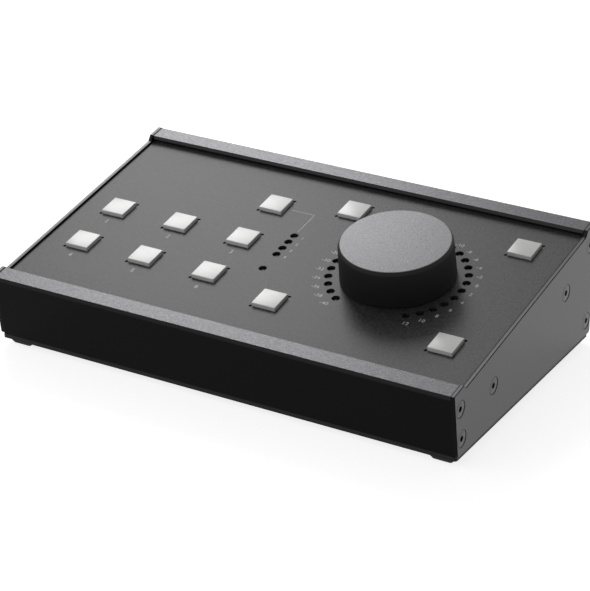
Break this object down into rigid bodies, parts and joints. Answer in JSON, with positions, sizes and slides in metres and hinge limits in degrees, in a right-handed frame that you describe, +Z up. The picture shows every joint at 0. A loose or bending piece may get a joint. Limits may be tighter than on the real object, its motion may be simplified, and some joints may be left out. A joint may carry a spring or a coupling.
{
  "type": "studio monitor controller",
  "caption": "Wedge-shaped desktop controller box with square push buttons, small lamps, one large endless knob with a ring of lamps, and network sockets at the rear.",
  "frame": {"origin": "under the middle of the case, on the plane that the feet stand on", "axes": "+X to the user's right, +Y to the rear, +Z up"},
  "size_m": [0.23, 0.1376, 0.0671],
  "materials": {
    "anodised_rail": "bead-blasted and anodised dark grey",
    "side_coat": "smooth satin black coat",
    "bottom_coat": "satin black coat",
    "panel_coat": "fine textured black coat",
    "black_steel": "blackened",
    "plated_steel": "zinc plated",
    "brass": "turned",
    "rubber": "matt black",
    "raw_aluminium": "as extruded",
    "board_laminate": "black solder mask",
    "white_key": "matt white",
    "plunger_plastic": "moulded grey",
    "black_plastic": "moulded black",
    "smoked_lens": "dark smoked epoxy",
    "anodised_knob": "turned and anodised black",
    "ribbon_vinyl": "grey vinyl"
  },
  "bodies": {
    "case": {"front_rail": "anodised_rail", "rear_rail": "anodised_rail", "left_side_panel": "side_coat", "right_side_panel": "side_coat", "side_screws": "black_steel", "top_panel": "panel_coat", "bottom_plate": "bottom_coat", "bottom_screws": "black_steel", "rubber_feet": "rubber", "left_board_rail": "raw_aluminium", "right_board_rail": "raw_aluminium", "main_board": "board_laminate", "source_a_switch": "black_plastic", "source_b_switch": "black_plastic", "source_c_switch": "black_plastic", "speaker_1_switch": "black_plastic", "speaker_2_switch": "black_plastic", "speaker_3_switch": "black_plastic", "layer_switch": "black_plastic", "talkback_switch": "black_plastic", "reference_switch": "black_plastic", "cut_switch": "black_plastic", "dim_switch": "black_plastic", "ring_lamps": "smoked_lens", "status_lamps": "smoked_lens", "encoder_housing": "black_plastic", "encoder_bushing": "plated_steel", "encoder_washer": "plated_steel", "encoder_nut": "plated_steel", "board_standoffs": "brass", "jack_board": "board_laminate", "board_screws": "plated_steel", "network_jack_in": "black_plastic", "network_jack_out": "black_plastic", "ribbon_cable": "ribbon_vinyl"},
    "source_a_key": {"source_a_button": "white_key", "source_a_plunger": "plunger_plastic"},
    "source_b_key": {"source_b_button": "white_key", "source_b_plunger": "plunger_plastic"},
    "source_c_key": {"source_c_button": "white_key", "source_c_plunger": "plunger_plastic"},
    "speaker_1_key": {"speaker_1_button": "white_key", "speaker_1_plunger": "plunger_plastic"},
    "speaker_2_key": {"speaker_2_button": "white_key", "speaker_2_plunger": "plunger_plastic"},
    "speaker_3_key": {"speaker_3_button": "white_key", "speaker_3_plunger": "plunger_plastic"},
    "layer_key": {"layer_button": "white_key", "layer_plunger": "plunger_plastic"},
    "talkback_key": {"talkback_button": "white_key", "talkback_plunger": "plunger_plastic"},
    "reference_key": {"reference_button": "white_key", "reference_plunger": "plunger_plastic"},
    "cut_key": {"cut_button": "white_key", "cut_plunger": "plunger_plastic"},
    "dim_key": {"dim_button": "white_key", "dim_plunger": "plunger_plastic"},
    "knob": {"knob_shell": "anodised_knob", "knob_core": "black_plastic", "encoder_shaft": "plated_steel"}
  },
  "joints": [
    {"name": "source_a_press", "type": "slide", "parent": "case", "child": "source_a_key", "axis": [0, 0.1736, -0.9848], "range_m": [0, 0.0012], "stiffness_N_per_m": 800, "springref_m": -0.0012},
    {"name": "source_b_press", "type": "slide", "parent": "case", "child": "source_b_key", "axis": [0, 0.1736, -0.9848], "range_m": [0, 0.0012], "stiffness_N_per_m": 800, "springref_m": -0.0012},
    {"name": "source_c_press", "type": "slide", "parent": "case", "child": "source_c_key", "axis": [0, 0.1736, -0.9848], "range_m": [0, 0.0012], "stiffness_N_per_m": 800, "springref_m": -0.0012},
    {"name": "speaker_1_press", "type": "slide", "parent": "case", "child": "speaker_1_key", "axis": [0, 0.1736, -0.9848], "range_m": [0, 0.0012], "stiffness_N_per_m": 800, "springref_m": -0.0012},
    {"name": "speaker_2_press", "type": "slide", "parent": "case", "child": "speaker_2_key", "axis": [0, 0.1736, -0.9848], "range_m": [0, 0.0012], "stiffness_N_per_m": 800, "springref_m": -0.0012},
    {"name": "speaker_3_press", "type": "slide", "parent": "case", "child": "speaker_3_key", "axis": [0, 0.1736, -0.9848], "range_m": [0, 0.0012], "stiffness_N_per_m": 800, "springref_m": -0.0012},
    {"name": "layer_press", "type": "slide", "parent": "case", "child": "layer_key", "axis": [0, 0.1736, -0.9848], "range_m": [0, 0.0012], "stiffness_N_per_m": 800, "springref_m": -0.0012},
    {"name": "talkback_press", "type": "slide", "parent": "case", "child": "talkback_key", "axis": [0, 0.1736, -0.9848], "range_m": [0, 0.0012], "stiffness_N_per_m": 800, "springref_m": -0.0012},
    {"name": "reference_press", "type": "slide", "parent": "case", "child": "reference_key", "axis": [0, 0.1736, -0.9848], "range_m": [0, 0.0012], "stiffness_N_per_m": 800, "springref_m": -0.0012},
    {"name": "cut_press", "type": "slide", "parent": "case", "child": "cut_key", "axis": [0, 0.1736, -0.9848], "range_m": [0, 0.0012], "stiffness_N_per_m": 800, "springref_m": -0.0012},
    {"name": "dim_press", "type": "slide", "parent": "case", "child": "dim_key", "axis": [0, 0.1736, -0.9848], "range_m": [0, 0.0012], "stiffness_N_per_m": 800, "springref_m": -0.0012},
    {"name": "knob_turn", "type": "hinge", "parent": "case", "child": "knob", "pos_m": [0.0513, 0.00326, 0.04497], "axis": [0, -0.1736, 0.9848], "continuous": true}
  ]
}
